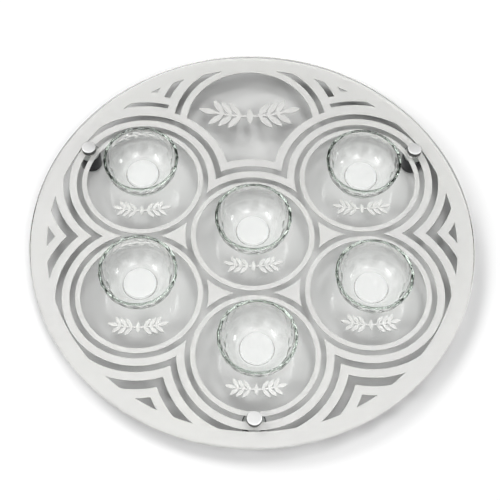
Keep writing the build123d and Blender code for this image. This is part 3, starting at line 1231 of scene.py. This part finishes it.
@dataclass
class Studio:
    """Pale table, soft light all round and a camera at the photograph's angle.

    Attributes:
        camera_target: Point that the camera looks at, in millimetres.
        camera_distance: Distance from that point, in millimetres.
        camera_elevation: Height of the view above the horizon, in degrees.
        camera_turn: Turn of the view about the vertical, in degrees.
        camera_roll: Roll of the camera, in degrees.
        focal_length: Focal length, in millimetres.
        sensor_width: Width of the sensor, in millimetres.
        table_size: Side of the table top, in metres.
        table_colour: sRGB colour of the table top.
        zenith: Brightness of the dome overhead.
        horizon: Brightness of the dome at the horizon.
        low_sky: Height, as a sine, up to which the dome stays dark.
        high_sky: Height, as a sine, from which the dome is fully bright.
        backdrop: Brightness of the plain backdrop that the camera sees.
        boxes: Soft lights in the dome.
        screens: White screens round the table.
    """

    camera_target: tuple[float, float, float] = (-2.8, -17.06, 25.3)
    camera_distance: float = 963.8
    camera_elevation: float = 61.968
    camera_turn: float = -3.037
    camera_roll: float = 2.157
    focal_length: float = 78.15
    sensor_width: float = 36.0
    table_size: float = 12.0
    table_colour: str = "#FBFBFB"
    zenith: float = 0.06
    horizon: float = 0.04
    low_sky: float = 0.1
    high_sky: float = 0.9
    backdrop: float = 1.0
    boxes: tuple[SoftBox, ...] = (
        SoftBox(140.0, 48.0, 0.20, 0.20, 0.3, 8.5, 4.0),
        SoftBox(200.0, 40.0, 0.22, 0.22, 0.3, 7.9, 0.0),
        SoftBox(300.0, 48.0, 0.20, 0.20, 0.3, 8.1, 3.0),
        SoftBox(60.0, 75.0, 0.20, 0.20, 0.3, 6.4, 0.0),
        SoftBox(300.0, 75.0, 0.20, 0.20, 0.3, 5.0, 4.0),
        SoftBox(215.0, 45.0, 0.80, 0.60, 0.4, 0.0, 1.4),
        SoftBox(325.0, 45.0, 0.80, 0.60, 0.4, 0.0, 1.4),
        SoftBox(25.0, 47.0, 0.22, 0.22, 0.4, 0.0, 5.0),
        SoftBox(203.0, 34.0, 0.22, 0.035, 0.3, 0.0, 18.0),
        SoftBox(-2.0, 20.0, 0.10, 0.10, 0.3, 0.0, 12.0))
    screens: ScreenRing = ScreenRing()

    def build_table(self) -> None:
        """Lay the table top and dress it in matt white paper."""
        half = self.table_size / 2
        mesh = bpy.data.meshes.new("table_top")
        corners = [(-half, -half, 0), (half, -half, 0), (half, half, 0), (-half, half, 0)]
        mesh.from_pydata(corners, [], [(0, 1, 2, 3)])
        material, tree = start_material("matt_white_paper")
        shader = add_node(tree, "ShaderNodeBsdfPrincipled", {
            "Base Color": linear(self.table_colour), "Roughness": 0.9, "Specular IOR Level": 0.1})
        tree.links.new(shader.outputs[0], tree.nodes["Output"].inputs["Surface"])
        mesh.materials.append(material)
        table = bpy.data.objects.new("table_top", mesh)
        bpy.context.scene.collection.objects.link(table)

    def build_light(self) -> None:
        """Light the scene with a faint dome, the soft lights in it and the screens round the table."""
        world = bpy.data.worlds.new("studio_dome")
        bpy.context.scene.world = world
        world.use_nodes = True
        tree = world.node_tree
        tree.nodes.clear()
        direction = add_node(tree, "ShaderNodeTexCoord").outputs["Generated"]
        height = add_node(tree, "ShaderNodeSeparateXYZ", {0: direction}).outputs[2]
        path = add_node(tree, "ShaderNodeLightPath").outputs
        first = calc(tree, "LESS_THAN", path["Diffuse Depth"], 0.5)
        gloss = calc(tree, "MAXIMUM", path["Is Glossy Ray"], path["Is Transmission Ray"])
        clean = calc(tree, "MULTIPLY", first, gloss)
        total = remap(tree, height, (self.low_sky, self.high_sky), (self.horizon, self.zenith), smooth=True)
        for light in (*self.boxes, self.screens):
            total = calc(tree, "ADD", total, light.add(tree, direction, clean))
        white = linear("#FFFFFF")
        dome = add_node(tree, "ShaderNodeBackground", {"Color": white, "Strength": total})
        plain = add_node(tree, "ShaderNodeBackground", {"Color": white, "Strength": self.backdrop})
        mixed = add_node(tree, "ShaderNodeMixShader",
                         {0: path["Is Camera Ray"], 1: dome.outputs[0], 2: plain.outputs[0]})
        add_node(tree, "ShaderNodeOutputWorld", {"Surface": mixed.outputs[0]})

    def build_camera(self) -> None:
        """Stand the camera at the photograph's angle."""
        turn = Matrix.Rotation(math.radians(self.camera_turn), 3, "Z")
        elevation = math.radians(self.camera_elevation)
        back = turn @ Vector((0.0, -math.cos(elevation), math.sin(elevation)))
        right = turn @ Vector((1.0, 0.0, 0.0))
        axes = Matrix((right, back.cross(right), back)).transposed()
        roll = Matrix.Rotation(math.radians(self.camera_roll), 3, "Z")
        data = bpy.data.cameras.new("camera")
        data.lens = self.focal_length
        data.sensor_width = self.sensor_width
        camera = bpy.data.objects.new("camera", data)
        place = Vector(self.camera_target) * MM + back * self.camera_distance * MM
        camera.matrix_world = Matrix.Translation(place) @ (axes @ roll).to_4x4()
        bpy.context.scene.collection.objects.link(camera)
        bpy.context.scene.camera = camera

    def build(self) -> None:
        """Set up table, light and camera."""
        self.build_table()
        self.build_light()
        self.build_camera()
        bpy.context.scene.view_settings.view_transform = "Standard"


def main() -> None:
    """Build the studio and every piece of the plate, in order."""
    logging.basicConfig(level=logging.INFO, format="%(name)s: %(message)s")
    Studio().build()
    strip = ring_strip_tree()
    GlassPlate().build(strip)
    Inlay().dress()
    finishes = {
        "cap_steel": CAP_STEEL.make(), "leg_steel": SHADED_LEG_STEEL.make(), "stud_steel": STUD_STEEL.make(),
        "gasket_clear": GASKET_VINYL.make(), "sleeve_nylon": SLEEVE_NYLON.make(),
        "foot_rubber": FOOT_RUBBER.make()}
    thread = threaded_rod_tree()
    for leg in LEGS:
        LegSet(leg, finishes=finishes).build(thread)
    CupSet().build(strip)


if __name__ == "__main__":
    main()
